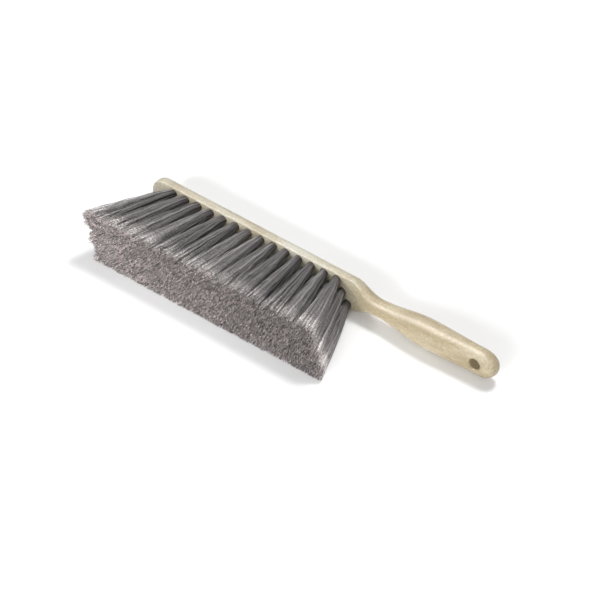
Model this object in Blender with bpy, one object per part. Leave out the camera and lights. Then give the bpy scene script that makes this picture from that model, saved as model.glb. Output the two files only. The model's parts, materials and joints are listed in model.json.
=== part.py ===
"""Counter duster: a moulded block and handle in one piece, set with three rows of bristle tufts.

Each object is first made in the brush's own frame: X runs from the far end of the block to the
end of the handle, Y runs across the block, the tuft face is the plane Z = 0 and the bristles hang
below it. An empty then lays the brush on its side, as it is put down after use: the lower edge of
the block and the tips of the lower tufts share the floor, the plane Z = 0 of the world.
"""

import math

import bmesh
import bpy
from mathutils import Matrix, Vector

# Block, in metres
BLOCK_LENGTH = 0.1975
BLOCK_WIDTH = 0.0293
BLOCK_THICKNESS = 0.0129
BACK_EDGE_RADIUS = 0.0094
FACE_EDGE_RADIUS = 0.0012
END_CORNER_RADIUS = 0.0090
END_BACK_DROP = 0.0035

# Handle
OVERALL_LENGTH = 0.3370
HANDLE_AXIS_HEIGHT = 0.0033
SHOULDER_LENGTH = 0.0255
NECK_WIDTH = 0.0146
NECK_THICKNESS = 0.0142
NECK_TO_BELLY = 0.0480
BELLY_WIDTH = 0.0266
BELLY_THICKNESS = 0.0199
HANDLE_END_WIDTH = 0.0256
HANDLE_END_THICKNESS = 0.0154
HANDLE_END_ROUNDING = 0.0150

# Hanging hole through the handle, dished at both faces
HOLE_DIAMETER = 0.0095
HOLE_FROM_END = 0.0182
HOLE_RIM_DIAMETER = 0.0135
HOLE_RIM_DEPTH = 0.0014

# Tufts and their blind holes
TUFT_PITCH = 0.0125
ROW_SPACING = 0.0093
FIRST_TUFT_FROM_END = 0.0200
TUFT_DIAMETER = 0.0070
TUFT_CLEARANCE = 0.0003
TUFT_HOLE_DEPTH = 0.0070
TUFT_ROOT_PROUD = 0.0012
TRIM_LENGTH = 0.0780
END_TUFT_LEAN = 0.0228
SIDE_TUFT_LEAN = 0.0060
TUFT_TIP_WIDTH = 0.0142

# Counts and shares
TUFTS_PER_ROW = 14
ROW_NAMES = ("upper", "middle", "lower")
ROW_SHIFT_SHARE = 0.5
TIP_FILL_SHARE = 0.90
STRAND_FILL_SHARE = 0.75
STRAND_LEVEL_SHARES = (0.42, 1.0)
FLARE_POWER = 0.90
LEAN_POWER = 1.45
SHOULDER_EASE_POWER = 0.8
OVAL_CORNER_SHARE = 0.96
HANDLE_TIP_SHARE = 0.985
INNER_RING_SHARE = 0.5
CORNER_STEPS = 6
END_STEPS = 6
SHOULDER_STEPS = 7
HANDLE_STEPS = 6
TUFT_SIDES = 12
HOLE_SIDES = 24

# Overrun of a cutter past the face it cuts
CUT_OVERRUN = 0.0020

# Finishes: colour, roughness, metallic
FOAM_PLASTIC = ((0.80, 0.68, 0.50, 1.0), 0.48, 0.0)
CRIMPED_BRISTLE = ((0.16, 0.14, 0.15, 1.0), 0.55, 0.0)


def clear_scene():
    """Remove the objects that the new file came with."""
    for old in list(bpy.data.objects):
        bpy.data.objects.remove(old, do_unlink=True)


def make_material(name, finish):
    """One Principled material from a colour, a roughness and a metallic value."""
    colour, roughness, metallic = finish
    material = bpy.data.materials.new(name)
    material.use_nodes = True
    shader = material.node_tree.nodes["Principled BSDF"]
    shader.inputs["Base Color"].default_value = colour
    shader.inputs["Roughness"].default_value = roughness
    shader.inputs["Metallic"].default_value = metallic
    material.diffuse_color = colour
    return material


def add_object(name, mesh, material=None):
    """Link a mesh to the scene as a named object."""
    made = bpy.data.objects.new(name, mesh)
    bpy.context.scene.collection.objects.link(made)
    if material is not None:
        made.data.materials.append(material)
    return made


def finish_mesh(name, work):
    """Turn the faces outwards and write a bmesh to a new mesh."""
    bmesh.ops.recalc_face_normals(work, faces=work.faces)
    mesh = bpy.data.meshes.new(name)
    work.to_mesh(mesh)
    work.free()
    return mesh


def loft(work, rings):
    """Join rings of as many points each with quads and close both ends."""
    loops = [[work.verts.new(point) for point in ring] for ring in rings]
    count = len(loops[0])
    for near, far in zip(loops, loops[1:]):
        for index in range(count):
            after = (index + 1) % count
            work.faces.new((near[index], near[after], far[after], far[index]))
    work.faces.new(loops[0])
    work.faces.new(list(reversed(loops[-1])))


def blend(start, end, share):
    """The value that lies the given share of the way from start to end."""
    return start + (end - start) * share


def ease(share):
    """A share that starts and ends gently."""
    return 0.5 - 0.5 * math.cos(math.pi * share)


def section_ring(x, half_width, low, high, low_radii, high_radii):
    """Outline of the block or the handle at x: a rectangle with rounded corners, or an oval."""
    corners = (
        (1.0, high - high_radii[1], high_radii),
        (-1.0, high - high_radii[1], high_radii),
        (-1.0, low + low_radii[1], low_radii),
        (1.0, low + low_radii[1], low_radii),
    )
    ring = []
    for quarter, (side, centre_z, radii) in enumerate(corners):
        centre_y = side * (half_width - radii[0])
        for step in range(CORNER_STEPS + 1):
            angle = math.pi / 2 * (quarter + step / CORNER_STEPS)
            ring.append(Vector((x, centre_y + radii[0] * math.cos(angle),
                                centre_z + radii[1] * math.sin(angle))))
    return ring


def oval_ring(x, half_width, half_thickness):
    """Outline of the handle at x."""
    radii = (half_width * OVAL_CORNER_SHARE, half_thickness * OVAL_CORNER_SHARE)
    low = HANDLE_AXIS_HEIGHT - half_thickness
    high = HANDLE_AXIS_HEIGHT + half_thickness
    return section_ring(x, half_width, low, high, radii, radii)


def block_rings():
    """Sections of the block: its rounded far end and its straight run to the shoulder."""
    face_radii = (FACE_EDGE_RADIUS, FACE_EDGE_RADIUS)
    rings = []
    for step in range(END_STEPS + 1):
        angle = math.pi / 2 * step / END_STEPS
        inset = 1.0 - math.sin(angle)
        x = END_CORNER_RADIUS * (1.0 - math.cos(angle))
        half_width = BLOCK_WIDTH / 2 - END_CORNER_RADIUS * inset
        high = BLOCK_THICKNESS - END_BACK_DROP * inset
        side_radius = blend(BACK_EDGE_RADIUS, FACE_EDGE_RADIUS, inset)
        rings.append(section_ring(x, half_width, 0.0, high, face_radii,
                                  (side_radius, BACK_EDGE_RADIUS - END_BACK_DROP * inset)))
    rings.append(section_ring(BLOCK_LENGTH, BLOCK_WIDTH / 2, 0.0, BLOCK_THICKNESS, face_radii,
                              (BACK_EDGE_RADIUS, BACK_EDGE_RADIUS)))
    return rings


def shoulder_rings():
    """Sections of the shoulder, from the corner of the block to the neck."""
    neck_half = NECK_WIDTH / 2
    neck_depth = NECK_THICKNESS / 2
    oval_radii = (neck_half * OVAL_CORNER_SHARE, neck_depth * OVAL_CORNER_SHARE)
    rings = []
    for step in range(1, SHOULDER_STEPS + 1):
        share = ease((step / SHOULDER_STEPS) ** SHOULDER_EASE_POWER)
        x = BLOCK_LENGTH + SHOULDER_LENGTH * step / SHOULDER_STEPS
        half_width = blend(BLOCK_WIDTH / 2, neck_half, share)
        low = blend(0.0, HANDLE_AXIS_HEIGHT - neck_depth, share)
        high = blend(BLOCK_THICKNESS, HANDLE_AXIS_HEIGHT + neck_depth, share)
        low_radii = [blend(FACE_EDGE_RADIUS, radius, share) for radius in oval_radii]
        high_radii = [blend(BACK_EDGE_RADIUS, radius, share) for radius in oval_radii]
        rings.append(section_ring(x, half_width, low, high, low_radii, high_radii))
    return rings


def handle_rings():
    """Sections of the handle: neck to belly, belly to rounding, and the rounded end."""
    neck_x = BLOCK_LENGTH + SHOULDER_LENGTH
    belly_x = neck_x + NECK_TO_BELLY
    rounding_x = OVERALL_LENGTH - HANDLE_END_ROUNDING
    spans = (
        (neck_x, belly_x, NECK_WIDTH, BELLY_WIDTH, NECK_THICKNESS, BELLY_THICKNESS),
        (belly_x, rounding_x, BELLY_WIDTH, HANDLE_END_WIDTH, BELLY_THICKNESS,
         HANDLE_END_THICKNESS),
    )
    rings = []
    for start, end, width, next_width, thickness, next_thickness in spans:
        for step in range(1, HANDLE_STEPS + 1):
            share = step / HANDLE_STEPS
            x = blend(start, end, share)
            half_width = blend(width, next_width, ease(share)) / 2
            half_thickness = blend(thickness, next_thickness, ease(share)) / 2
            rings.append(oval_ring(x, half_width, half_thickness))
    for step in range(1, END_STEPS + 1):
        share = HANDLE_TIP_SHARE * math.sin(math.pi / 2 * step / END_STEPS)
        x = rounding_x + HANDLE_END_ROUNDING * share
        half_width = HANDLE_END_WIDTH / 2 * math.sqrt(1.0 - share ** 2)
        half_thickness = HANDLE_END_THICKNESS / 2 * math.sqrt(1.0 - share ** 4)
        rings.append(oval_ring(x, half_width, half_thickness))
    return rings


def tuft_centre(row, number):
    """Centre of a tuft's hole on the tuft face. Each row starts half a pitch after the last."""
    x = FIRST_TUFT_FROM_END + TUFT_PITCH * (number + row * ROW_SHIFT_SHARE)
    middle = (len(ROW_NAMES) - 1) / 2
    return Vector((x, ROW_SPACING * (row - middle), 0.0))


def all_tufts():
    """Row and number of each tuft."""
    return [(row, number) for row in range(len(ROW_NAMES)) for number in range(TUFTS_PER_ROW)]


def tuft_hole_cutter():
    """The blind holes of all the tufts, as one cutter."""
    work = bmesh.new()
    radius = TUFT_DIAMETER / 2 + TUFT_CLEARANCE
    height = TUFT_HOLE_DEPTH + TUFT_CLEARANCE + CUT_OVERRUN
    for row, number in all_tufts():
        centre = tuft_centre(row, number)
        centre.z = height / 2 - CUT_OVERRUN
        bmesh.ops.create_cone(work, cap_ends=True, segments=TUFT_SIDES, radius1=radius,
                              radius2=radius, depth=height, matrix=Matrix.Translation(centre))
    return as_cutter("tuft_hole_cutter", finish_mesh("tuft_hole_cutter", work))


def hanging_hole_cutter():
    """The hanging hole with its dished rims, as a turned cutter along Z."""
    half = HANDLE_END_THICKNESS / 2
    rim = HOLE_RIM_DIAMETER / 2
    bore = HOLE_DIAMETER / 2
    slope = (rim - bore) / HOLE_RIM_DEPTH
    outer = rim + slope * CUT_OVERRUN
    profile = (
        (outer, -half - CUT_OVERRUN),
        (bore, -half + HOLE_RIM_DEPTH),
        (bore, half - HOLE_RIM_DEPTH),
        (outer, half + CUT_OVERRUN),
    )
    centre_x = OVERALL_LENGTH - HOLE_FROM_END
    rings = []
    for radius, height in profile:
        ring = []
        for step in range(HOLE_SIDES):
            angle = 2 * math.pi * step / HOLE_SIDES
            ring.append(Vector((centre_x + radius * math.cos(angle), radius * math.sin(angle),
                                HANDLE_AXIS_HEIGHT + height)))
        rings.append(ring)
    work = bmesh.new()
    loft(work, rings)
    return as_cutter("hanging_hole_cutter", finish_mesh("hanging_hole_cutter", work))


def as_cutter(name, mesh):
    """An object that only cuts others."""
    cutter = add_object(name, mesh)
    cutter.hide_render = True
    cutter.display_type = "WIRE"
    return cutter


def make_block_handle(material):
    """The moulding: block, neck and handle in one, with its holes cut."""
    work = bmesh.new()
    loft(work, block_rings() + shoulder_rings() + handle_rings())
    moulding = add_object("block_handle", finish_mesh("block_handle", work), material)
    moulding.data.shade_smooth()
    moulding.data.set_sharp_from_angle(angle=math.radians(35))
    cutters = (tuft_hole_cutter(), hanging_hole_cutter())
    for cutter in cutters:
        cut = moulding.modifiers.new(cutter.name, "BOOLEAN")
        cut.operation = "DIFFERENCE"
        cut.object = cutter
    return moulding, cutters


def tuft_flare(row, number):
    """How far a tuft's tip leans from its root, and how far the tip spreads, along X and Y."""
    place = 2 * number / (TUFTS_PER_ROW - 1) - 1
    half_row = TUFT_PITCH * (TUFTS_PER_ROW - 1) / 2
    middle = (len(ROW_NAMES) - 1) / 2
    side = (row - middle) / middle
    lean = Vector((math.copysign(END_TUFT_LEAN * abs(place) ** LEAN_POWER, place),
                   SIDE_TUFT_LEAN * side))
    stretch = END_TUFT_LEAN * LEAN_POWER * abs(place) ** (LEAN_POWER - 1) / half_row
    spread = Vector((TUFT_PITCH * (1 + stretch) * TIP_FILL_SHARE / 2, TUFT_TIP_WIDTH / 2))
    return lean, spread


def strand_faces(outer, inner, centre):
    """The triangles of the tuft's end face that strands grow from, and the ones left plain."""
    strands = []
    plain = []
    sectors = len(inner)
    for sector in range(sectors):
        here = inner[sector]
        after = inner[(sector + 1) % sectors]
        first = outer[2 * sector]
        second = outer[2 * sector + 1]
        third = outer[(2 * sector + 2) % len(outer)]
        strands.append((here, first, second))
        plain.append((here, second, after))
        plain.append((after, second, third))
        (plain if sector % 2 else strands).append((centre, here, after))
    return strands, plain


def make_tuft(name, row, number, material):
    """One tuft: its round root in the block and the strands that grow from it, one solid."""
    work = bmesh.new()
    origin = tuft_centre(row, number)
    lean, spread = tuft_flare(row, number)
    radius = TUFT_DIAMETER / 2

    def ring(count, ring_radius, height):
        angles = [2 * math.pi * step / count for step in range(count)]
        return [work.verts.new(origin + Vector((ring_radius * math.cos(angle),
                                                ring_radius * math.sin(angle), height)))
                for angle in angles]

    buried = ring(TUFT_SIDES, radius, TUFT_HOLE_DEPTH)
    outer = ring(TUFT_SIDES, radius, -TUFT_ROOT_PROUD)
    inner = ring(TUFT_SIDES // 2, radius * INNER_RING_SHARE, -TUFT_ROOT_PROUD)
    centre = work.verts.new(origin - Vector((0.0, 0.0, TUFT_ROOT_PROUD)))
    work.faces.new(buried)
    for index in range(TUFT_SIDES):
        after = (index + 1) % TUFT_SIDES
        work.faces.new((buried[index], outer[index], outer[after], buried[after]))
    strands, plain = strand_faces(outer, inner, centre)
    for corners in plain:
        work.faces.new(corners)
    for corners in strands:
        grow_strand(work, corners, origin, lean, spread)
    tuft = add_object(name, finish_mesh(name, work), material)
    return tuft


def grow_strand(work, corners, origin, lean, spread):
    """Draw one strand out of its root triangle, down to the trimmed tip face."""
    middle = sum((corner.co for corner in corners), Vector()) / len(corners)
    offset = middle - origin
    widening = [reach / (TUFT_DIAMETER / 2) for reach in spread]
    thickening = STRAND_FILL_SHARE * min(widening)
    previous = list(corners)
    for level in STRAND_LEVEL_SHARES:
        flare = level ** FLARE_POWER
        across = [blend(1.0, ratio, flare) for ratio in widening]
        scale = blend(1.0, thickening, flare)
        centre = Vector((origin.x + lean.x * flare + offset.x * across[0],
                         origin.y + lean.y * flare + offset.y * across[1],
                         blend(-TUFT_ROOT_PROUD, -TRIM_LENGTH, level)))
        ring = [work.verts.new(centre + (corner.co - middle) * scale) for corner in corners]
        for index in range(len(ring)):
            after = (index + 1) % len(ring)
            work.faces.new((previous[index], previous[after], ring[after], ring[index]))
        previous = ring
    work.faces.new(previous)


def lay_on_side(moulding, tufts, others):
    """Tilt the brush about X until the block's lower edge and the lower tips share the floor."""
    tips = [vertex.co for tuft in tufts for vertex in tuft.data.vertices]
    lowest_tip = max(tips, key=lambda point: (point.y, -point.z))
    edge_y = BLOCK_WIDTH / 2 - BACK_EDGE_RADIUS
    edge_z = BLOCK_THICKNESS - BACK_EDGE_RADIUS
    across = lowest_tip.y - edge_y
    along = edge_z - lowest_tip.z
    tilt = math.atan2(across, along) - math.asin(BACK_EDGE_RADIUS / math.hypot(across, along))
    pose = bpy.data.objects.new("lying_pose", None)
    bpy.context.scene.collection.objects.link(pose)
    turn = Matrix.Rotation(-math.pi / 2 - tilt, 4, "X")
    points = tips + [vertex.co for vertex in moulding.data.vertices]
    lift = -min((turn @ point).z for point in points)
    middle_x = (min(point.x for point in points) + max(point.x for point in points)) / 2
    across_y = [(turn @ point).y for point in points]
    middle_y = (min(across_y) + max(across_y)) / 2
    pose.rotation_euler = turn.to_euler()
    pose.location = (-middle_x, -middle_y, lift)
    for made in [moulding, *tufts, *others]:
        made.parent = pose
    print("tilt in degrees", round(math.degrees(tilt), 3), "lift", lift,
          "middle", middle_x, middle_y)


def build():
    """Make the moulding and its tufts, then lay the brush down."""
    clear_scene()
    foam = make_material("foam_plastic", FOAM_PLASTIC)
    bristle = make_material("crimped_bristle", CRIMPED_BRISTLE)
    moulding, cutters = make_block_handle(foam)
    tufts = [make_tuft(f"tuft_{ROW_NAMES[row]}_{number + 1:02d}", row, number, bristle)
             for row, number in all_tufts()]
    lay_on_side(moulding, tufts, cutters)


build()
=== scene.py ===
"""Looks of the counter duster: foam moulding, crimped and flagged tufts, pale floor and camera."""

import json
import logging
import math
from dataclasses import dataclass, field
from enum import Enum
from typing import Any, Sequence

import bmesh
import bpy
import numpy as np
from mathutils import Matrix, Vector


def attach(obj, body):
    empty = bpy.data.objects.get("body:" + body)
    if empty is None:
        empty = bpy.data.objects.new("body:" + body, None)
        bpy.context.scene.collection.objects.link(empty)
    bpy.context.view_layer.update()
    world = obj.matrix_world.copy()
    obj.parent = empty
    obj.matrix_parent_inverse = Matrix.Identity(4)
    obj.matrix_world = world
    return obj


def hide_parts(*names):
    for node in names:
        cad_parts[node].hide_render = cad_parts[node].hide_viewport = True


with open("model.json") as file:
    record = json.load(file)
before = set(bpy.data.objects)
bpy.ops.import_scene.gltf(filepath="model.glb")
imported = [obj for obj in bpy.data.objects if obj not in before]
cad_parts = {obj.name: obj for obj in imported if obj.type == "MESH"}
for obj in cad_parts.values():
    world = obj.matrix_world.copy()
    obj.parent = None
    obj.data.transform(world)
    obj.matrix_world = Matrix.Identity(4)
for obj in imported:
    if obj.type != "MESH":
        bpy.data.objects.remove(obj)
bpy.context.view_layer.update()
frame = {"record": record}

LOG = logging.getLogger("counter_duster")

# The middle of a noise, and of the scale of shades.
MIDDLE = 0.5
# Keeps the two sideways parts of a vector, and drops the part along the filament.
ACROSS = (1.0, 1.0, 0.0)
# The least and the greatest random vector.
EACH_WAY = ((-1.0, -1.0, -1.0), (1.0, 1.0, 1.0))

Socket = bpy.types.NodeSocket
# What an input takes: a socket or a plain value.
Value = Any


class Row(Enum):
    """The rows of tufts, from the one that lies on top to the one on the floor."""

    UPPER = 0
    MIDDLE = 1
    LOWER = 2

    @property
    def label(self) -> str:
        """Name of the row in node names."""
        return self.name.lower()

    @property
    def side(self) -> int:
        """Which side of the block's middle line the row is on: -1, 0 or 1."""
        return self.value - Row.MIDDLE.value


class Draw(Enum):
    """What each stream of random numbers is for, as the shift of the tuft's seed."""

    SEAT = 1
    FILAMENT = 2
    FLAG = 3
    SPIN = 4


def blend(start: float, end: float, share: float) -> float:
    """The value that lies the given share of the way from start to end."""
    return start + (end - start) * share


def ease(share: float) -> float:
    """A share that starts and ends gently."""
    return 0.5 - 0.5 * math.cos(math.pi * share)


def quarter_turn(steps: int) -> list[float]:
    """Angles in even steps from 0 to a right angle."""
    return [math.pi / 2 * step / steps for step in range(steps + 1)]


class Nodes:
    """Adds nodes to a tree and links them, with short calls for sums."""

    def __init__(self, tree: bpy.types.NodeTree) -> None:
        """Start from an empty tree."""
        self.tree = tree
        tree.nodes.clear()

    def add(self, kind: str, settings: dict[str, Any] | None = None,
            inputs: dict[Any, Value] | None = None) -> bpy.types.Node:
        """Add a node, set its properties and feed its inputs.

        Args:
            kind: The node's type name.
            settings: Properties of the node.
            inputs: Values or sockets by input name or index.

        Returns:
            The new node.
        """
        node = self.tree.nodes.new(kind)
        for name, value in (settings or {}).items():
            setattr(node, name, value)
        for key, value in (inputs or {}).items():
            self.feed(node.inputs[key], value)
        return node

    def feed(self, target: Socket, value: Value) -> None:
        """Link a socket to an input, or set the input's own value."""
        if isinstance(value, bpy.types.NodeSocket):
            self.tree.links.new(value, target)
        else:
            target.default_value = value

    def math(self, operation: str, *values: Value, clamp: bool = False) -> Socket:
        """One sum on numbers, kept between 0 and 1 if asked."""
        node = self.add("ShaderNodeMath", {"operation": operation, "use_clamp": clamp},
                        dict(enumerate(values)))
        return node.outputs[0]

    def times(self, first: Value, second: Value, clamp: bool = False) -> Socket:
        """The product of two numbers, kept between 0 and 1 if asked."""
        return self.math("MULTIPLY", first, second, clamp=clamp)

    def vector(self, operation: str, first: Value, second: Value) -> Socket:
        """One sum on two vectors."""
        return self.add("ShaderNodeVectorMath", {"operation": operation},
                        {0: first, 1: second}).outputs["Vector"]

    def scaled(self, vector: Value, factor: Value) -> Socket:
        """A vector times a number."""
        return self.add("ShaderNodeVectorMath", {"operation": "SCALE"},
                        {0: vector, "Scale": factor}).outputs["Vector"]

    def combine(self, x: Value = 0.0, y: Value = 0.0, z: Value = 0.0) -> Socket:
        """A vector from three numbers."""
        return self.add("ShaderNodeCombineXYZ", inputs={0: x, 1: y, 2: z}).outputs[0]

    def split(self, vector: Socket) -> Sequence[Socket]:
        """The three numbers of a vector."""
        return self.add("ShaderNodeSeparateXYZ", inputs={0: vector}).outputs

    def noise(self, place: Value, scale: float, detail: float,
              **others: float) -> Sequence[Socket]:
        """Soft clouds of noise.

        Args:
            place: Where they are read.
            scale: How fine they are.
            detail: How many finer layers they have.
            others: The node's other inputs by name.

        Returns:
            The sockets of the height, which is the first, and of the colour, "Color".
        """
        return self.add("ShaderNodeTexNoise", inputs={
            "Vector": place, "Scale": scale, "Detail": detail, **others}).outputs

    def ramp(self, value: Socket, *stops: tuple[float, tuple]) -> Socket:
        """A colour for each value.

        Args:
            value: What the colour goes by.
            stops: Value and colour of each stop, in order.

        Returns:
            The colour's socket.
        """
        node = self.add("ShaderNodeValToRGB", inputs={0: value})
        made = node.color_ramp.elements
        for stop, (place, colour) in zip(made, (stops[0], stops[-1])):
            stop.position = place
            stop.color = colour
        for place, colour in stops[1:-1]:
            made.new(place).color = colour
        return node.outputs[0]


class Finish:
    """A named material built from nodes."""

    name: str = "finish"

    def material(self) -> bpy.types.Material:
        """Make the material."""
        made = bpy.data.materials.new(self.name)
        made.use_nodes = True
        nodes = Nodes(made.node_tree)
        nodes.add("ShaderNodeOutputMaterial", inputs={0: self.surface(nodes)})
        return made

    def surface(self, nodes: Nodes) -> Socket:
        """Fill the material's tree and give its shader."""
        raise NotImplementedError


@dataclass(frozen=True)
class FoamPlastic(Finish):
    """Cream structural foam: satin skin, cloudy flow marks and a fine pitted grain."""

    name: str = "cream_foam"
    deep_colour: tuple = (0.405, 0.322, 0.200, 1.0)
    body_colour: tuple = (0.510, 0.424, 0.278, 1.0)
    pale_colour: tuple = (0.615, 0.552, 0.420, 1.0)
    deep_level: float = 0.40
    body_level: float = 0.50
    pale_level: float = 0.62
    # The block's tint is partly the foam's own paler colour and partly a painted whitish sheen.
    block_tint_and_painted_sheen: tuple = (0.96, 1.04, 1.19)
    handle_tint: tuple = (0.88, 0.89, 0.88)
    block_end: float = 0.005
    handle_start: float = 0.060
    roughness: float = 0.42
    sheen: float = 0.80
    glow_share: float = 0.15
    glow_reach: tuple = (0.0025, 0.0018, 0.0012)
    cloud_scale: float = 55.0
    cloud_detail: float = 4.0
    cloud_roughness: float = 0.6
    cloud_warp: float = 0.8
    cloud_stretch: tuple = (0.35, 1.0, 1.0)
    fleck_scale: float = 560.0
    fleck_roughness: float = 0.7
    fleck_weight: float = 0.38
    fine_detail: float = 2.0
    grain_scale: float = 1500.0
    grain_depth: float = 0.00010
    ripple_scale: float = 160.0
    ripple_depth: float = 0.00022
    bump_strength: float = 0.5

    def surface(self, nodes: Nodes) -> Socket:
        """Clouds stretched along the moulding, flecks, ripple and grain; the block's paler tint is
        partly a painted sheen.
        """
        place = nodes.add("ShaderNodeTexCoord").outputs["Object"]
        flow = nodes.add("ShaderNodeMapping", inputs={
            "Vector": place, "Scale": self.cloud_stretch}).outputs[0]
        clouds = nodes.noise(flow, self.cloud_scale, self.cloud_detail,
                             Roughness=self.cloud_roughness, Distortion=self.cloud_warp)[0]
        flecks = nodes.noise(place, self.fleck_scale, self.fine_detail,
                             Roughness=self.fleck_roughness)[0]
        mixed = nodes.math("ADD", nodes.times(clouds, 1.0 - self.fleck_weight),
                           nodes.times(flecks, self.fleck_weight))
        marks = nodes.ramp(mixed, (self.deep_level, self.deep_colour),
                           (self.body_level, self.body_colour),
                           (self.pale_level, self.pale_colour))
        # The block is paler and bluer than the handle: partly the foam's own colour, partly a
        # painted whitish sheen.
        on_handle = nodes.add("ShaderNodeMapRange", inputs={
            "Value": nodes.split(place)[0], "From Min": self.block_end,
            "From Max": self.handle_start}).outputs[0]
        # Inputs 4 and 5 of a mix are its two vectors.
        tint = nodes.add("ShaderNodeMix", {"data_type": "VECTOR"}, {
            0: on_handle, 4: self.block_tint_and_painted_sheen, 5: self.handle_tint}).outputs[1]
        bumps = {}
        for where, scale, depth in ((flow, self.ripple_scale, self.ripple_depth),
                                    (place, self.grain_scale, self.grain_depth)):
            height = nodes.noise(where, scale, self.fine_detail)[0]
            bumps["Normal"] = nodes.add("ShaderNodeBump", inputs={
                "Strength": self.bump_strength, "Distance": depth, "Height": height,
                **bumps}).outputs[0]
        return nodes.add("ShaderNodeBsdfPrincipled", inputs={
            "Base Color": nodes.vector("MULTIPLY", marks, tint), "Roughness": self.roughness,
            "Specular IOR Level": self.sheen, "Subsurface Weight": self.glow_share,
            "Subsurface Radius": self.glow_reach, "Subsurface Scale": 1.0,
            **bumps}).outputs[0]


@dataclass(frozen=True)
class CrimpedFilament(Finish):
    """Grey synthetic filament: dark along its length, frayed pale at the flagged tip, with painted
    shade near the block.
    """

    name: str = "crimped_filament"
    # Root and stem colours paint shade near the block; the tip colour paints the shade between the
    # cut ends.
    root_painted_shade: tuple = (0.140, 0.122, 0.115, 1.0)
    stem_painted_shade: tuple = (0.225, 0.211, 0.213, 1.0)
    body_colour: tuple = (0.300, 0.282, 0.280, 1.0)
    flag_colour: tuple = (0.520, 0.492, 0.482, 1.0)
    tip_painted_shade: tuple = (0.420, 0.372, 0.366, 1.0)
    stem_end: float = 0.10
    flag_start: float = 0.76
    flag_full: float = 0.86
    tip_start: float = 0.965
    roughness: float = 0.45
    shade_low: float = 0.27
    shade_high: float = 1.73
    # Painted glints: light and dark beads along the crimp, stronger towards the tip.
    crimp_glints: float = 22.0
    glint_depth: float = 0.50
    glint_growth: float = 1.5
    glint_drift: float = 3.2
    glint_wander: float = 22.0
    wander_scale: float = 110.0
    wander_detail: float = 1.0

    def surface(self, nodes: Nodes) -> Socket:
        """Colour by place along the filament with painted shade, painted glints on its crimp, and
        its shade, partly painted light.
        """
        along, shade = (
            nodes.add("ShaderNodeAttribute", {"attribute_name": name}).outputs["Fac"]
            for name in ("along", "shade"))
        # Painted shade: darker near the block and at the very cut ends.
        colours = nodes.ramp(along, (0.0, self.root_painted_shade), (self.stem_end, self.stem_painted_shade),
                             (self.flag_start, self.body_colour),
                             (self.flag_full, self.flag_colour),
                             (self.tip_start, self.flag_colour), (1.0, self.tip_painted_shade))
        level = nodes.add("ShaderNodeMapRange", {"clamp": False}, {
            "Value": shade, "To Min": self.shade_low, "To Max": self.shade_high}).outputs[0]
        # Painted glints where the crimp's waves catch the light, out of step from strand to
        # strand.
        place = nodes.add("ShaderNodeTexCoord").outputs["Object"]
        wander = nodes.noise(place, self.wander_scale, self.wander_detail)[0]
        drift = nodes.math("MULTIPLY_ADD", wander, self.glint_wander,
                           nodes.times(shade, self.glint_drift))
        turn = nodes.math("MULTIPLY_ADD", along, 2 * math.pi * self.crimp_glints, drift)
        depth = nodes.times(nodes.math("POWER", along, self.glint_growth), self.glint_depth)
        painted_glint = nodes.math("MULTIPLY_ADD", nodes.math("SINE", turn), depth, 1.0)
        return nodes.add("ShaderNodeBsdfPrincipled", inputs={
            "Base Color": nodes.scaled(colours, nodes.times(level, painted_glint)),
            "Roughness": self.roughness}).outputs[0]


@dataclass(frozen=True)
class PaleFloor(Finish):
    """White sweep: it keeps the shadow, and reads white to the camera."""

    name: str = "pale_floor"
    colour: tuple = (0.90, 0.90, 0.90, 1.0)
    lift: float = 0.02

    def surface(self, nodes: Nodes) -> Socket:
        """A plain diffuse with a lift that only what looks at it sees."""
        path = nodes.add("ShaderNodeLightPath").outputs
        seen = nodes.math("ADD", path["Is Camera Ray"], path["Is Glossy Ray"], clamp=True)
        seen = nodes.math("ADD", seen, path["Is Transmission Ray"], clamp=True)
        diffuse = nodes.add("ShaderNodeBsdfDiffuse", inputs={"Color": self.colour})
        glow = nodes.add("ShaderNodeEmission", inputs={
            "Strength": nodes.times(seen, self.lift)})
        return nodes.add("ShaderNodeAddShader", inputs={
            0: diffuse.outputs[0], 1: glow.outputs[0]}).outputs[0]


def lying_pose(mount: dict[str, Any], place_on_block: Vector) -> Matrix:
    """The turn and place that lay the brush on its side.

    Args:
        mount: The record's mount on the block's back.
        place_on_block: Where that mount is in the brush's own frame.

    Returns:
        The matrix from the brush's own frame to the world.
    """
    place, axis = Vector(mount["pos_m"]), Vector(mount["axis"])
    tilt = math.atan2(-axis.z, axis.y)
    turn = Matrix.Rotation(-math.pi / 2 - tilt, 4, "X")
    return Matrix.Translation(place - turn @ place_on_block) @ turn


def new_piece(name: str, mesh: bpy.types.Mesh) -> bpy.types.Object:
    """Link a mesh to the scene as an object at the origin."""
    made = bpy.data.objects.new(name, mesh)
    bpy.context.scene.collection.objects.link(made)
    return made


def evaluated_mesh(owner: bpy.types.Object) -> bpy.types.Mesh:
    """The mesh that an object's modifiers give, as a plain mesh of its own."""
    graph = bpy.context.evaluated_depsgraph_get()
    return bpy.data.meshes.new_from_object(owner.evaluated_get(graph), depsgraph=graph)


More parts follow.
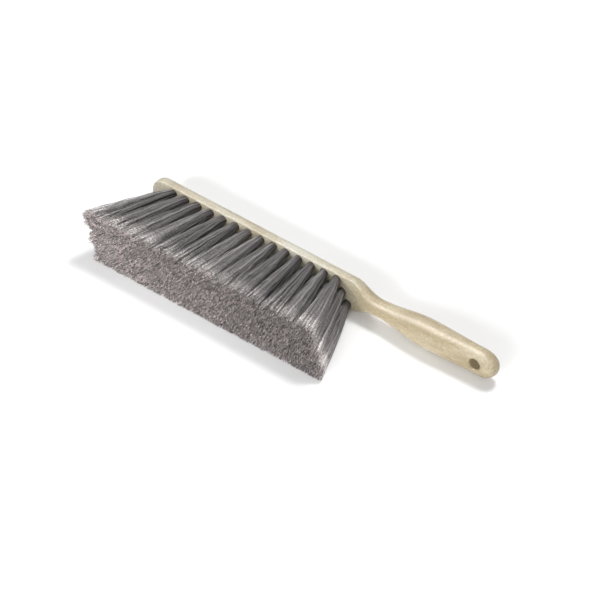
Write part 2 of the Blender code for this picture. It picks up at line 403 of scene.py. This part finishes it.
@dataclass
class Moulding:
    """The block, neck and handle in one piece, with tuft holes and a hanging hole."""

    pose: Matrix
    finish: Finish
    block_length: float = 0.1975
    mount_place: float = 0.100
    block_width: float = 0.0293
    block_thickness: float = 0.0129
    back_edge_radius: float = 0.0094
    face_edge_radius: float = 0.0008
    end_corner_radius: float = 0.0090
    end_back_drop: float = 0.0035
    overall_length: float = 0.3370
    axis_height: float = 0.0033
    shoulder_length: float = 0.0255
    neck_width: float = 0.0146
    neck_thickness: float = 0.0142
    neck_to_belly: float = 0.0480
    belly_width: float = 0.0266
    belly_thickness: float = 0.0199
    end_width: float = 0.0256
    end_thickness: float = 0.0154
    end_rounding: float = 0.0150
    hole_diameter: float = 0.0095
    hole_from_end: float = 0.0182
    hole_rim_diameter: float = 0.0165
    hole_rim_depth: float = 0.0024
    oval_corner_share: float = 0.96
    tip_share: float = 0.992
    shoulder_power: float = 0.8
    corner_steps: int = 16
    end_steps: int = 14
    shoulder_steps: int = 24
    handle_steps: int = 24
    hole_sides: int = 48
    rim_steps: int = 8
    tuft_hole_sides: int = 24
    cut_overrun: float = 0.002
    tip_bluntness: int = 4
    sharp_degrees: float = 32.0

    def section(self, x: float, half_width: float, low: float, high: float,
                low_radii: Sequence[float], high_radii: Sequence[float]) -> list[Vector]:
        """Outline of the moulding at x: a rectangle with rounded corners, or an oval.

        Args:
            x: Place along the brush.
            half_width: Half the width there.
            low: Height of the bristle side.
            high: Height of the back.
            low_radii: Width and height of the corners on the bristle side.
            high_radii: Width and height of the corners on the back.

        Returns:
            The points of the outline, in the brush's own frame.
        """
        corners = (
            (1.0, high - high_radii[1], high_radii),
            (-1.0, high - high_radii[1], high_radii),
            (-1.0, low + low_radii[1], low_radii),
            (1.0, low + low_radii[1], low_radii),
        )
        ring = []
        for quarter, (side, centre_z, radii) in enumerate(corners):
            centre_y = side * (half_width - radii[0])
            for step in range(self.corner_steps + 1):
                angle = math.pi / 2 * (quarter + step / self.corner_steps)
                ring.append(Vector((x, centre_y + radii[0] * math.cos(angle),
                                    centre_z + radii[1] * math.sin(angle))))
        return ring

    def oval(self, x: float, half_width: float, half_thickness: float) -> list[Vector]:
        """Outline of the handle at x."""
        radii = (half_width * self.oval_corner_share, half_thickness * self.oval_corner_share)
        return self.section(x, half_width, self.axis_height - half_thickness,
                            self.axis_height + half_thickness, radii, radii)

    def block_rings(self) -> list[list[Vector]]:
        """Outlines of the block, from its rounded far end to the shoulder."""
        face = (self.face_edge_radius, self.face_edge_radius)
        back = self.back_edge_radius
        rings = []
        for angle in quarter_turn(self.end_steps):
            inset = 1.0 - math.sin(angle)
            drop = self.end_back_drop * inset
            rings.append(self.section(
                self.end_corner_radius * (1.0 - math.cos(angle)),
                self.block_width / 2 - self.end_corner_radius * inset, 0.0,
                self.block_thickness - drop, face,
                (blend(back, self.face_edge_radius, inset), back - drop)))
        rings.append(self.section(self.block_length, self.block_width / 2, 0.0,
                                  self.block_thickness, face, (back, back)))
        return rings

    def shoulder_rings(self) -> list[list[Vector]]:
        """Outlines of the shoulder, down to the neck."""
        half, depth = self.neck_width / 2, self.neck_thickness / 2
        oval = (half * self.oval_corner_share, depth * self.oval_corner_share)
        rings = []
        for step in range(1, self.shoulder_steps + 1):
            share = ease((step / self.shoulder_steps) ** self.shoulder_power)
            rings.append(self.section(
                self.block_length + self.shoulder_length * step / self.shoulder_steps,
                blend(self.block_width / 2, half, share),
                blend(0.0, self.axis_height - depth, share),
                blend(self.block_thickness, self.axis_height + depth, share),
                [blend(self.face_edge_radius, radius, share) for radius in oval],
                [blend(self.back_edge_radius, radius, share) for radius in oval]))
        return rings

    def handle_rings(self) -> list[list[Vector]]:
        """Outlines of the handle, from the neck to its rounded end."""
        neck_x = self.block_length + self.shoulder_length
        belly_x = neck_x + self.neck_to_belly
        rounding_x = self.overall_length - self.end_rounding
        spans = (
            (neck_x, belly_x, self.neck_width, self.belly_width,
             self.neck_thickness, self.belly_thickness),
            (belly_x, rounding_x, self.belly_width, self.end_width,
             self.belly_thickness, self.end_thickness),
        )
        rings = []
        for start, end, width, next_width, thickness, next_thickness in spans:
            for step in range(1, self.handle_steps + 1):
                share = step / self.handle_steps
                rings.append(self.oval(blend(start, end, share),
                                       blend(width, next_width, ease(share)) / 2,
                                       blend(thickness, next_thickness, ease(share)) / 2))
        for angle in quarter_turn(self.end_steps)[1:]:
            share = self.tip_share * math.sin(angle)
            rings.append(self.oval(rounding_x + self.end_rounding * share,
                                   self.end_width / 2 * math.sqrt(1.0 - share ** 2),
                                   self.end_thickness / 2
                                   * math.sqrt(1.0 - share ** self.tip_bluntness)))
        return rings

    @staticmethod
    def loft(rings: Sequence[Sequence[Vector]]) -> bmesh.types.BMesh:
        """Join outlines of as many points each with quads and close both ends.

        Args:
            rings: The outlines in order.

        Returns:
            The closed mesh.
        """
        work = bmesh.new()
        loops = [[work.verts.new(point) for point in ring] for ring in rings]
        count = len(loops[0])
        for near, far in zip(loops, loops[1:]):
            for index in range(count):
                after = (index + 1) % count
                work.faces.new((near[index], near[after], far[after], far[index]))
        work.faces.new(loops[0])
        work.faces.new(list(reversed(loops[-1])))
        return work

    @staticmethod
    def solid(name: str, work: bmesh.types.BMesh) -> bpy.types.Object:
        """Turn the faces outwards and make an object of the mesh."""
        bmesh.ops.recalc_face_normals(work, faces=work.faces)
        mesh = bpy.data.meshes.new(name)
        work.to_mesh(mesh)
        work.free()
        return new_piece(name, mesh)

    def tuft_holes(self, places: Sequence[Vector], radius: float,
                   depth: float) -> bpy.types.Object:
        """The cutter for the blind holes.

        Args:
            places: Centres of the holes on the tuft face.
            radius: Radius of a hole.
            depth: Depth of a hole.

        Returns:
            One object that holds a cylinder for each hole.
        """
        work = bmesh.new()
        height = depth + self.cut_overrun
        for place in places:
            middle = place + Vector((0.0, 0.0, height / 2 - self.cut_overrun))
            bmesh.ops.create_cone(work, cap_ends=True, segments=self.tuft_hole_sides,
                                  radius1=radius, radius2=radius, depth=height,
                                  matrix=Matrix.Translation(middle))
        return self.solid("tuft_hole_cutter", work)

    def hanging_hole(self) -> bpy.types.Object:
        """The cutter for the hanging hole and its dished rims."""
        half = self.end_thickness / 2
        rim, bore = self.hole_rim_diameter / 2, self.hole_diameter / 2
        rolled = [(rim - (rim - bore) * math.cos(angle),
                   half - self.hole_rim_depth * (1.0 - math.sin(angle)))
                  for angle in quarter_turn(self.rim_steps)]
        rolled.append((rim, half + self.cut_overrun))
        profile = [(radius, -height) for radius, height in reversed(rolled)] + rolled
        centre_x = self.overall_length - self.hole_from_end
        turns = [2 * math.pi * step / self.hole_sides for step in range(self.hole_sides)]
        rings = [[Vector((centre_x + radius * math.cos(turn), radius * math.sin(turn),
                          self.axis_height + height)) for turn in turns]
                 for radius, height in profile]
        return self.solid("hanging_hole_cutter", self.loft(rings))

    def build(self, places: Sequence[Vector], hole_radius: float,
              hole_depth: float) -> bpy.types.Object:
        """Make the moulding and dress it.

        Args:
            places: Centres of the tuft holes.
            hole_radius: Radius of a tuft hole.
            hole_depth: Depth of a tuft hole.

        Returns:
            The finished piece.
        """
        rings = self.block_rings() + self.shoulder_rings() + self.handle_rings()
        blank = self.solid("moulding_blank", self.loft(rings))
        cutters = (self.tuft_holes(places, hole_radius, hole_depth), self.hanging_hole())
        for cutter in cutters:
            blank.modifiers.new(cutter.name, "BOOLEAN").object = cutter
        mesh = evaluated_mesh(blank)
        for spare in (blank, *cutters):
            bpy.data.objects.remove(spare, do_unlink=True)
        mesh.transform(self.pose)
        mesh.shade_smooth()
        mesh.set_sharp_from_angle(angle=math.radians(self.sharp_degrees))
        mesh.materials.append(self.finish.material())
        piece = new_piece("moulded_block_and_handle", mesh)
        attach(piece, "root")
        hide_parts("block_handle")
        return piece


@dataclass
class TuftTree:
    """Geometry Nodes that grow one tuft: crimped filaments with frayed ends.

    An onset of 10 means that a bend has its full size from a tenth of the tuft's length on.
    """

    finish: Finish
    root_radius: float
    buried_length: float
    trim_length: float = 0.0780
    filaments: int = 260
    segments: int = 16
    filament_radius: float = 0.00022
    sides: int = 3
    flags: int = 4
    flag_segments: int = 2
    flag_radius: float = 0.00014
    flag_length: float = 0.012
    uneven_trim: float = 0.0008
    golden_angle: float = math.pi * (3.0 - math.sqrt(5.0))
    seat_jitter: float = 0.0001
    flare_power: float = 0.90
    squareness: float = 0.75
    root_pinch: float = 0.40
    root_swell: float = 0.05
    root_onset: float = 20.0
    root_power: float = 3.0
    parting: float = 0.0004
    parting_onset: float = 10.0
    crimp_length: float = 0.0052
    crimp_height: float = 0.00030
    crimp_scatter: float = 1.2
    crimp_onset: float = 8.0
    clump_reach: float = 0.0034
    clump_size: float = 0.0016
    clump_step: float = 0.37
    stray_reach: float = 0.0012
    fray_reach: float = 0.0008
    lock_size: float = 0.0008
    lock_step: float = 0.61
    lock_contrast: float = 2.4
    filament_contrast: float = 0.32
    flag_contrast: float = 0.70
    flag_freedom: float = 0.75
    floor_ease: float = 0.0015
    tree: bpy.types.NodeTree = field(init=False)
    nodes: Nodes = field(init=False)
    given: Sequence[Socket] = field(init=False)
    sockets: dict[str, str] = field(init=False, default_factory=dict)

    # The Stem and Flag inputs carry painted light and shade at the row ends.
    INPUTS = ("Seed", "Lean X", "Lean Y", "Spread X", "Spread Y", "Stem Painted Light", "Flag Painted Light")
    SPARE = ("root_offset", "chance", "fray")

    def __post_init__(self) -> None:
        """Build the tree once."""
        self.tree = bpy.data.node_groups.new("grow_tuft", "GeometryNodeTree")
        face = self.tree.interface
        face.new_socket("Geometry", in_out="OUTPUT", socket_type="NodeSocketGeometry")
        for name in self.INPUTS:
            kind = "NodeSocketInt" if name == "Seed" else "NodeSocketFloat"
            made = face.new_socket(name, in_out="INPUT", socket_type=kind)
            self.sockets[name] = made.identifier
        self.nodes = Nodes(self.tree)
        self.given = self.nodes.add("NodeGroupInput").outputs
        self.connect()

    def connect(self) -> None:
        """Grow the filaments and the frayed ends, join them and give them their finish."""
        flag_start = self.flag_length - self.trim_length
        body = self.strands(1, self.filament_radius, self.buried_length, flag_start,
                            self.segments)
        flags = self.strands(self.flags, self.flag_radius, flag_start, -self.trim_length,
                             self.flag_segments)
        joined = self.nodes.add("GeometryNodeJoinGeometry")
        for part in (body, flags):
            self.tree.links.new(part, joined.inputs[0])
        smooth = self.nodes.add("GeometryNodeSetShadeSmooth", inputs={0: joined.outputs[0]})
        dressed = self.nodes.add("GeometryNodeSetMaterial", inputs={
            0: smooth.outputs[0], "Material": self.finish.material()})
        self.nodes.add("NodeGroupOutput", inputs={0: dressed.outputs[0]})

    def random(self, low: Value, high: Value, draw: Draw, owner: Socket) -> Socket:
        """A random number or vector for each point.

        Args:
            low: The least value.
            high: The greatest value, of the same kind.
            draw: What it is for.
            owner: The number that tells whose value it is.

        Returns:
            The socket of the value.
        """
        kind = "FLOAT_VECTOR" if isinstance(low, tuple) else "FLOAT"
        node = self.nodes.add("FunctionNodeRandomValue", {"data_type": kind}, {
            "ID": owner, "Seed": self.nodes.math("ADD", self.given["Seed"], draw.value)})
        ends = [socket for socket in node.inputs if socket.enabled]
        self.nodes.feed(ends[0], low)
        self.nodes.feed(ends[1], high)
        return next(socket for socket in node.outputs if socket.enabled)

    def kind(self, name: str) -> str:
        """Whether the value kept under a name is a vector or a number."""
        return "FLOAT_VECTOR" if name in self.SPARE else "FLOAT"

    def store(self, geometry: Socket, name: str, value: Socket) -> Socket:
        """Keep a value on the points under a name, and give the geometry that has it."""
        settings = {"data_type": self.kind(name), "domain": "POINT"}
        return self.nodes.add("GeometryNodeStoreNamedAttribute", settings, {
            "Geometry": geometry, "Name": name, "Value": value}).outputs[0]

    def read(self, name: str) -> Socket:
        """A value kept on the points under a name."""
        node = self.nodes.add("GeometryNodeInputNamedAttribute",
                              {"data_type": self.kind(name)}, {"Name": name})
        return next(socket for socket in node.outputs if socket.enabled)

    def strands(self, per_filament: int, radius: float, start: float, end: float,
                segments: int) -> Socket:
        """Strands between two heights, spread over the root and bent to the tuft's flare.

        Args:
            per_filament: How many belong to each filament.
            radius: Radius of one.
            start: Height where they start.
            end: Height where they end.
            segments: Straight runs in each.

        Returns:
            The geometry.
        """
        n = self.nodes
        line = n.add("GeometryNodeCurvePrimitiveLine", inputs={
            "Start": (0.0, 0.0, start), "End": (0.0, 0.0, end)})
        curve = n.add("GeometryNodeResampleCurve", inputs={
            "Curve": line.outputs[0], "Count": segments + 1})
        profile = n.add("GeometryNodeCurvePrimitiveCircle", inputs={
            "Resolution": self.sides, "Radius": radius})
        tube = n.add("GeometryNodeCurveToMesh", inputs={
            "Curve": curve.outputs[0], "Profile Curve": profile.outputs[0],
            "Fill Caps": True})
        index = n.add("GeometryNodeInputIndex").outputs[0]
        owner = n.math("FLOOR", n.math("DIVIDE", n.math("ADD", index, 0.5), per_filament))
        ring = n.math("SQRT", n.math("DIVIDE", n.math("ADD", owner, 0.5), self.filaments))
        reach = n.times(ring, self.root_radius)
        turn = n.times(owner, self.golden_angle)
        even = n.combine(n.times(reach, n.math("COSINE", turn)),
                         n.times(reach, n.math("SINE", turn)))
        jitter = n.scaled(self.random((-1.0, -1.0, 0.0), ACROSS, Draw.SEAT, owner),
                          self.seat_jitter)
        seats = n.add("GeometryNodePoints", inputs={
            "Count": self.filaments * per_filament,
            "Position": n.vector("ADD", even, jitter)}).outputs[0]
        for name, value in (
                ("root_offset", n.add("GeometryNodeInputPosition").outputs[0]),
                ("chance", self.random(*EACH_WAY, Draw.FILAMENT, owner)),
                ("fray", self.random(*EACH_WAY, Draw.FLAG, index))):
            seats = self.store(seats, name, value)
        spin = n.combine(z=self.random(0.0, 2 * math.pi, Draw.SPIN, owner))
        placed = n.add("GeometryNodeInstanceOnPoints", inputs={
            "Points": seats, "Instance": tube.outputs[0], "Rotation": spin})
        real = n.add("GeometryNodeRealizeInstances", inputs={0: placed.outputs[0]})
        return self.bend(real.outputs[0])

    def bend(self, geometry: Socket) -> Socket:
        """Bend straight strands to the tuft's lean and spread, with clumps and crimp.

        Args:
            geometry: Strands that hang straight down from their seats.

        Returns:
            The bent strands, with the attributes that their finish reads.
        """
        n = self.nodes
        height = n.split(n.add("GeometryNodeInputPosition").outputs[0])[2]
        depth = n.times(height, -1.0)
        along = n.math("DIVIDE", depth, self.trim_length, clamp=True)
        in_flag = n.math("SUBTRACT", depth, self.trim_length - self.flag_length)
        frayed = n.math("DIVIDE", in_flag, self.flag_length, clamp=True)
        chance, fray = self.read("chance"), self.read("fray")
        luck, flag_luck = n.split(chance), n.split(fray)
        geometry = self.store(geometry, "along", along)
        geometry = self.store(geometry, "shade",
                              self.shade(luck[2], flag_luck[0], along, frayed))
        flare = n.math("POWER", along, self.flare_power)
        clump = n.vector("SUBTRACT", self.patches(self.clump_step, self.clump_size)["Color"],
                         (MIDDLE, MIDDLE, MIDDLE))
        trim = n.times(n.times(flag_luck[2], frayed), self.uneven_trim)
        shifts = (
            *self.fan(along, flare),
            n.combine(z=trim),
            n.scaled(n.vector("MULTIPLY", clump, ACROSS), n.times(flare, self.clump_reach)),
            n.scaled(n.vector("MULTIPLY", chance, ACROSS),
                     n.times(n.times(flare, flare), self.stray_reach)),
            self.crimp(luck, depth, along),
            n.scaled(n.vector("MULTIPLY", fray, ACROSS), n.times(frayed, self.fray_reach)),
        )
        shift = shifts[0]
        for part in shifts[1:]:
            shift = n.vector("ADD", shift, part)
        return n.add("GeometryNodeSetPosition", inputs={
            "Geometry": geometry, "Offset": shift}).outputs[0]

    def fan(self, along: Socket, flare: Socket) -> tuple[Socket, Socket, Socket]:
        """The shifts that flare a tuft, press it together near the block and part it.

        Args:
            along: Share of the tuft's length at a point.
            flare: Share of the flare there.

        Returns:
            The three shifts.
        """
        n = self.nodes
        root = n.split(self.read("root_offset"))
        left = n.math("SUBTRACT", 1.0, along)
        pressed = n.times(n.times(along, self.root_onset, clamp=True),
                          n.math("POWER", left, self.root_power))
        edge = n.times(n.math("SUBTRACT", self.square(root), 1.0), 0.5)
        press = n.combine(n.times(root[0], n.math("SUBTRACT", edge, self.root_pinch)),
                          n.times(root[1], n.math("ADD", edge, self.root_swell)))
        parted = n.times(n.math("SIGN", root[1]), n.times(self.parting, left))
        part = n.times(parted, n.times(along, self.parting_onset, clamp=True))
        return n.scaled(self.tip_shift(root), flare), n.scaled(press, pressed), n.combine(y=part)

    def crimp(self, luck: Sequence[Socket], depth: Socket, along: Socket) -> Socket:
        """The shift of the crimp, a wave in a plane of each filament's own.

        Args:
            luck: The filament's own random numbers, from -1 to 1.
            depth: How far below the block a point lies.
            along: Share of the tuft's length there.

        Returns:
            The shift.
        """
        n = self.nodes
        wave = n.math("MULTIPLY_ADD", n.math("DIVIDE", depth, self.crimp_length),
                      2 * math.pi, n.times(luck[1], self.crimp_scatter))
        heading = n.math("ADD", luck[0], self.given["Seed"])
        swing = n.times(n.math("SINE", wave), n.times(
            self.crimp_height, n.times(along, self.crimp_onset, clamp=True)))
        return n.scaled(n.combine(n.math("COSINE", heading), n.math("SINE", heading)), swing)

    def patches(self, step: float, size: float) -> Sequence[Socket]:
        """Noise over the root in patches of a size, moved on by a step at each tuft."""
        n = self.nodes
        place = n.vector("ADD", self.read("root_offset"),
                         n.combine(z=n.times(self.given["Seed"], step)))
        return n.noise(place, 1.0 / size, detail=1.0)

    def shade(self, luck: Socket, flag_luck: Socket, along: Socket,
              frayed: Socket) -> Socket:
        """How light a strand is: by its lock, its own luck, each frayed end, and painted light at
        the row ends.

        Args:
            luck: The filament's own random number, from -1 to 1.
            flag_luck: The frayed end's own random number, from -1 to 1.
            along: Share of the tuft's length at a point.
            frayed: Share of the frayed end's length there.

        Returns:
            The shade, about 0 to 1.
        """
        n = self.nodes
        lock = self.patches(self.lock_step, self.lock_size)[0]
        # Painted light: the near-end stems grow lighter towards their tips.
        stem = n.math("MULTIPLY_ADD", self.given["Stem Painted Light"], n.times(along, along), MIDDLE)
        # Painted light and shade on the flags: lighter at the far end, darker at the near end.
        rise = n.math("SUBTRACT", self.given["Flag Painted Light"], stem)
        tone = n.math("MULTIPLY_ADD", rise, frayed, stem)
        own = n.math("MULTIPLY_ADD", luck, self.filament_contrast, tone)
        tied = n.times(n.math("MULTIPLY_ADD", frayed, -self.flag_freedom, 1.0),
                       self.lock_contrast)
        locked = n.math("MULTIPLY_ADD", n.math("SUBTRACT", lock, MIDDLE), tied, own)
        return n.math("MULTIPLY_ADD", n.times(flag_luck, self.flag_contrast), frayed, locked)

    def square(self, root: Sequence[Socket]) -> Socket:
        """How much a filament moves out to turn a round tuft squarish, 1 for not at all."""
        n = self.nodes
        wide, tall = n.math("ABSOLUTE", root[0]), n.math("ABSOLUTE", root[1])
        reach = n.math("SQRT", n.math("MULTIPLY_ADD", wide, wide, n.times(tall, tall)))
        corner = n.math("DIVIDE", reach, n.math("MAXIMUM", wide, tall))
        return n.math("MULTIPLY_ADD", n.math("SUBTRACT", corner, 1.0), self.squareness, 1.0)

    def tip_shift(self, root: Sequence[Socket]) -> Socket:
        """How far a filament's tip lies from its place in the root, as a vector."""
        n = self.nodes
        square = self.square(root)
        shifts = []
        for number, axis in enumerate(("X", "Y")):
            spread = n.times(square, n.math("ADD", self.given[f"Spread {axis}"], 1.0))
            own = n.times(root[number], n.math("SUBTRACT", spread, 1.0))
            shifts.append(n.math("ADD", own, self.given[f"Lean {axis}"]))
        return n.combine(*shifts)

    def settle(self, mesh: bpy.types.Mesh) -> None:
        """Press a tuft's tips that would pass through the floor flat on it."""
        places = np.empty(len(mesh.vertices) * 3, dtype=np.float32)
        mesh.vertices.foreach_get("co", places)
        heights = places[2::3]
        low = heights < self.floor_ease
        heights[low] = self.floor_ease * np.exp(heights[low] / self.floor_ease - 1.0)
        mesh.vertices.foreach_set("co", places)
        mesh.update()

    def grow(self, name: str, values: dict[str, float], place: Matrix) -> bpy.types.Object:
        """Grow one tuft as a plain mesh.

        Args:
            name: The piece's name.
            values: The tree's inputs by name.
            place: Where the tuft's seat lies in the world.

        Returns:
            The piece, with its mesh in world coordinates.
        """
        carrier = new_piece("tuft_carrier", bpy.data.meshes.new("tuft_carrier"))
        growth = carrier.modifiers.new("grow", "NODES")
        growth.node_group = self.tree
        for label, value in values.items():
            growth[self.sockets[label]] = value
        mesh = evaluated_mesh(carrier)
        bpy.data.objects.remove(carrier, do_unlink=True)
        for spare in self.SPARE:
            mesh.attributes.remove(mesh.attributes[spare])
        mesh.transform(place)
        self.settle(mesh)
        return new_piece(name, mesh)


@dataclass
class TuftField:
    """All the tufts: three rows, each stepped half a pitch along from the last."""

    pose: Matrix
    finish: Finish
    tufts_per_row: int = 14
    pitch: float = 0.0125
    row_spacing: float = 0.0093
    row_shift_share: float = 0.5
    first_from_end: float = 0.0200
    root_radius: float = 0.0035
    clearance: float = 0.0003
    hole_depth: float = 0.0070
    buried_share: float = 0.25
    end_lean: float = 0.0228
    side_lean: float = 0.0060
    lean_power: float = 1.45
    tip_width: float = 0.0153
    # Painted light on the near-end stems, row by row.
    end_stem_painted_light: tuple = (0.50, 0.85, 1.20)
    # Painted shade on the near-end flags and painted light on the far-end flags.
    end_flag_painted_shade: float = 0.02
    end_power: float = 5.0
    far_flag_painted_light: float = 0.18
    far_power: float = 1.5

    @property
    def hole_radius(self) -> float:
        """Radius of a blind hole."""
        return self.root_radius + self.clearance

    def seat(self, row: Row, number: int) -> Vector:
        """Centre of a tuft's hole on the tuft face."""
        return Vector((self.first_from_end
                       + self.pitch * (number + row.value * self.row_shift_share),
                       self.row_spacing * row.side, 0.0))

    def seats(self) -> list[Vector]:
        """Centres of all the holes."""
        return [self.seat(row, number) for row in Row for number in range(self.tufts_per_row)]

    def values(self, row: Row, number: int) -> dict[str, float]:
        """The tree's inputs for one tuft.

        Args:
            row: The tuft's row.
            number: Its number in the row, from the far end.

        Returns:
            The inputs by name.
        """
        place = 2 * number / (self.tufts_per_row - 1) - 1
        half_row = self.pitch * (self.tufts_per_row - 1) / 2
        stretch = self.end_lean * self.lean_power * abs(place) ** (self.lean_power - 1)
        tip_reach = self.pitch * (1 + stretch / half_row) / 2
        near_end = max(place, 0.0) ** self.end_power
        far_end = max(-place, 0.0) ** self.far_power
        return {
            "Seed": 1 + number + row.value * self.tufts_per_row,
            "Lean X": math.copysign(self.end_lean * abs(place) ** self.lean_power, place),
            "Lean Y": self.side_lean * row.side,
            "Spread X": tip_reach / self.root_radius - 1,
            "Spread Y": self.tip_width / 2 / self.root_radius - 1,
            # Painted light: lighter near-end stems.
            "Stem Painted Light": self.end_stem_painted_light[row.value] * near_end,
            # Painted shade on the near-end flags, painted light on the far-end flags.
            "Flag Painted Light": (MIDDLE - self.end_flag_painted_shade * near_end
                          + self.far_flag_painted_light * far_end),
        }

    def build(self) -> list[bpy.types.Object]:
        """Grow each tuft in its hole."""
        tree = TuftTree(self.finish, self.root_radius, self.hole_depth * self.buried_share)
        pieces = []
        for row in Row:
            for number in range(self.tufts_per_row):
                label = f"{row.label}_{number + 1:02d}"
                place = self.pose @ Matrix.Translation(self.seat(row, number))
                piece = tree.grow(f"bristles_{label}", self.values(row, number), place)
                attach(piece, "root")
                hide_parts(f"tuft_{label}")
                pieces.append(piece)
        return pieces


@dataclass(frozen=True)
class Lamp:
    """A round soft lamp aimed at the brush, or at a place beside it.

    Attributes:
        name: Its name.
        power: Its power in watts.
        size: Its diameter.
        distance: How far it is from what it is aimed at.
        azimuth: Its bearing round the brush in degrees, as the camera's.
        elevation: Its height above the floor in degrees.
        aim: The place it is aimed at.
        cone: Width of its beam in degrees, or 0 for a lamp with no beam.
        shines: Whether smooth surfaces mirror it.
        lights: Whether it lights surfaces, other than by its mirror image.
    """

    name: str
    power: float
    size: float
    distance: float
    azimuth: float
    elevation: float
    aim: tuple = (0.0, 0.0, 0.0)
    cone: float = 0.0
    shines: bool = False
    lights: bool = True


@dataclass
class Studio:
    """Pale floor, soft light and the camera."""

    floor_finish: Finish
    floor_size: float = 6.0
    sky_strength: float = 0.50
    lamps: tuple[Lamp, ...] = (
        Lamp("overhead_lamp", power=29.0, size=0.6, distance=2.2, azimuth=180.0,
             elevation=66.0),
        Lamp("front_lamp", power=48.0, size=1.6, distance=2.5, azimuth=12.0, elevation=18.0),
        Lamp("beam_lamp", power=72.0, size=0.30, distance=1.6, azimuth=-8.0, elevation=32.0,
             aim=(-0.082, -0.033, 0.0), cone=14.0),
        Lamp("front_sheen_lamp", power=58.0, size=1.5, distance=2.0, azimuth=-41.0,
             elevation=52.0, shines=True, lights=False),
        Lamp("rear_sheen_lamp", power=18.0, size=2.0, distance=2.0, azimuth=-138.0,
             elevation=52.0, shines=True, lights=False),
    )
    camera_azimuth: float = 34.44
    camera_elevation: float = 44.5
    camera_roll: float = 2.258
    camera_distance: float = 3.886
    clip_share: float = 4.0
    focal_pixels: float = 4888.0
    image_pixels: float = 600.0
    aim_right: float = 0.00717
    aim_up: float = 0.01129
    sensor_width: float = 36.0

    @staticmethod
    def bearing(azimuth: float, elevation: float) -> Vector:
        """The direction from the brush towards a place given by its two angles."""
        turn, rise = math.radians(azimuth), math.radians(elevation)
        return Vector((math.sin(turn) * math.cos(rise), -math.cos(turn) * math.cos(rise),
                       math.sin(rise)))

    def build_floor(self) -> None:
        """Lay the floor under the brush."""
        half = self.floor_size / 2
        mesh = bpy.data.meshes.new("floor")
        mesh.from_pydata([(-half, -half, 0.0), (half, -half, 0.0), (half, half, 0.0),
                          (-half, half, 0.0)], [], [(0, 1, 2, 3)])
        mesh.materials.append(self.floor_finish.material())
        floor = new_piece("floor", mesh)

    def build_light(self) -> None:
        """Set the even surrounding light and hang the lamps."""
        world = bpy.data.worlds.new("surroundings")
        world.use_nodes = True
        nodes = Nodes(world.node_tree)
        path = nodes.add("ShaderNodeLightPath")
        seen = nodes.math("MULTIPLY_ADD", path.outputs["Is Camera Ray"],
                          1.0 - self.sky_strength, self.sky_strength)
        sky = nodes.add("ShaderNodeBackground", inputs={"Strength": seen})
        nodes.add("ShaderNodeOutputWorld", inputs={0: sky.outputs[0]})
        bpy.context.scene.world = world
        for lamp in self.lamps:
            self.hang(lamp)

    def hang(self, lamp: Lamp) -> None:
        """Put a lamp in its place."""
        light = bpy.data.lights.new(lamp.name, "SPOT" if lamp.cone else "AREA")
        light.energy = lamp.power
        if lamp.cone:
            light.spot_size = math.radians(lamp.cone)
            light.spot_blend = 1.0
            light.shadow_soft_size = lamp.size / 2
        else:
            light.shape = "DISK"
            light.size = lamp.size
        holder = bpy.data.objects.new(lamp.name, light)
        holder.visible_glossy = lamp.shines
        holder.visible_diffuse = lamp.lights
        bearing = self.bearing(lamp.azimuth, lamp.elevation)
        holder.location = Vector(lamp.aim) + bearing * lamp.distance
        holder.rotation_euler = bearing.to_track_quat("Z", "Y").to_euler()
        bpy.context.scene.collection.objects.link(holder)

    def build_camera(self) -> None:
        """Set the camera at the photographed viewing angle."""
        back = self.bearing(self.camera_azimuth, self.camera_elevation)
        level = Vector((math.cos(math.radians(self.camera_azimuth)),
                        math.sin(math.radians(self.camera_azimuth)), 0.0))
        upright = back.cross(level)
        roll = math.radians(self.camera_roll)
        right = level * math.cos(roll) + upright * math.sin(roll)
        up = upright * math.cos(roll) - level * math.sin(roll)
        lens = bpy.data.cameras.new("camera")
        lens.sensor_width = self.sensor_width
        lens.lens = self.focal_pixels / self.image_pixels * self.sensor_width
        lens.clip_end = self.camera_distance * self.clip_share
        camera = bpy.data.objects.new("camera", lens)
        place = right * self.aim_right + up * self.aim_up + back * self.camera_distance
        turn = Matrix((right, up, back)).transposed()
        camera.matrix_world = Matrix.Translation(place) @ turn.to_4x4()
        bpy.context.scene.collection.objects.link(camera)
        bpy.context.scene.camera = camera

    def build(self) -> None:
        """Set up the floor, the light and the camera."""
        self.build_floor()
        self.build_light()
        self.build_camera()
        bpy.context.scene.view_settings.view_transform = "Standard"


def log_pieces(step: str, pieces: Sequence[bpy.types.Object]) -> None:
    """Log the pieces that one step of the making gave."""
    for piece in pieces:
        LOG.info("%s: %s, %d faces", step, piece.name, len(piece.data.polygons))


def main() -> None:
    """Build the moulding, the tufts and the studio."""
    logging.basicConfig(level=logging.INFO, format="%(name)s: %(message)s")
    on_block = Vector((Moulding.mount_place, 0.0, Moulding.block_thickness))
    pose = lying_pose(frame["record"]["mounts"][0], on_block)
    moulding = Moulding(pose, FoamPlastic())
    tufts = TuftField(pose, CrimpedFilament())
    log_pieces("moulding", [moulding.build(tufts.seats(), tufts.hole_radius,
                                           tufts.hole_depth)])
    log_pieces("tuft", tufts.build())
    Studio(PaleFloor()).build()
    LOG.info("studio: floor, light and camera")


if __name__ == "__main__":
    main()
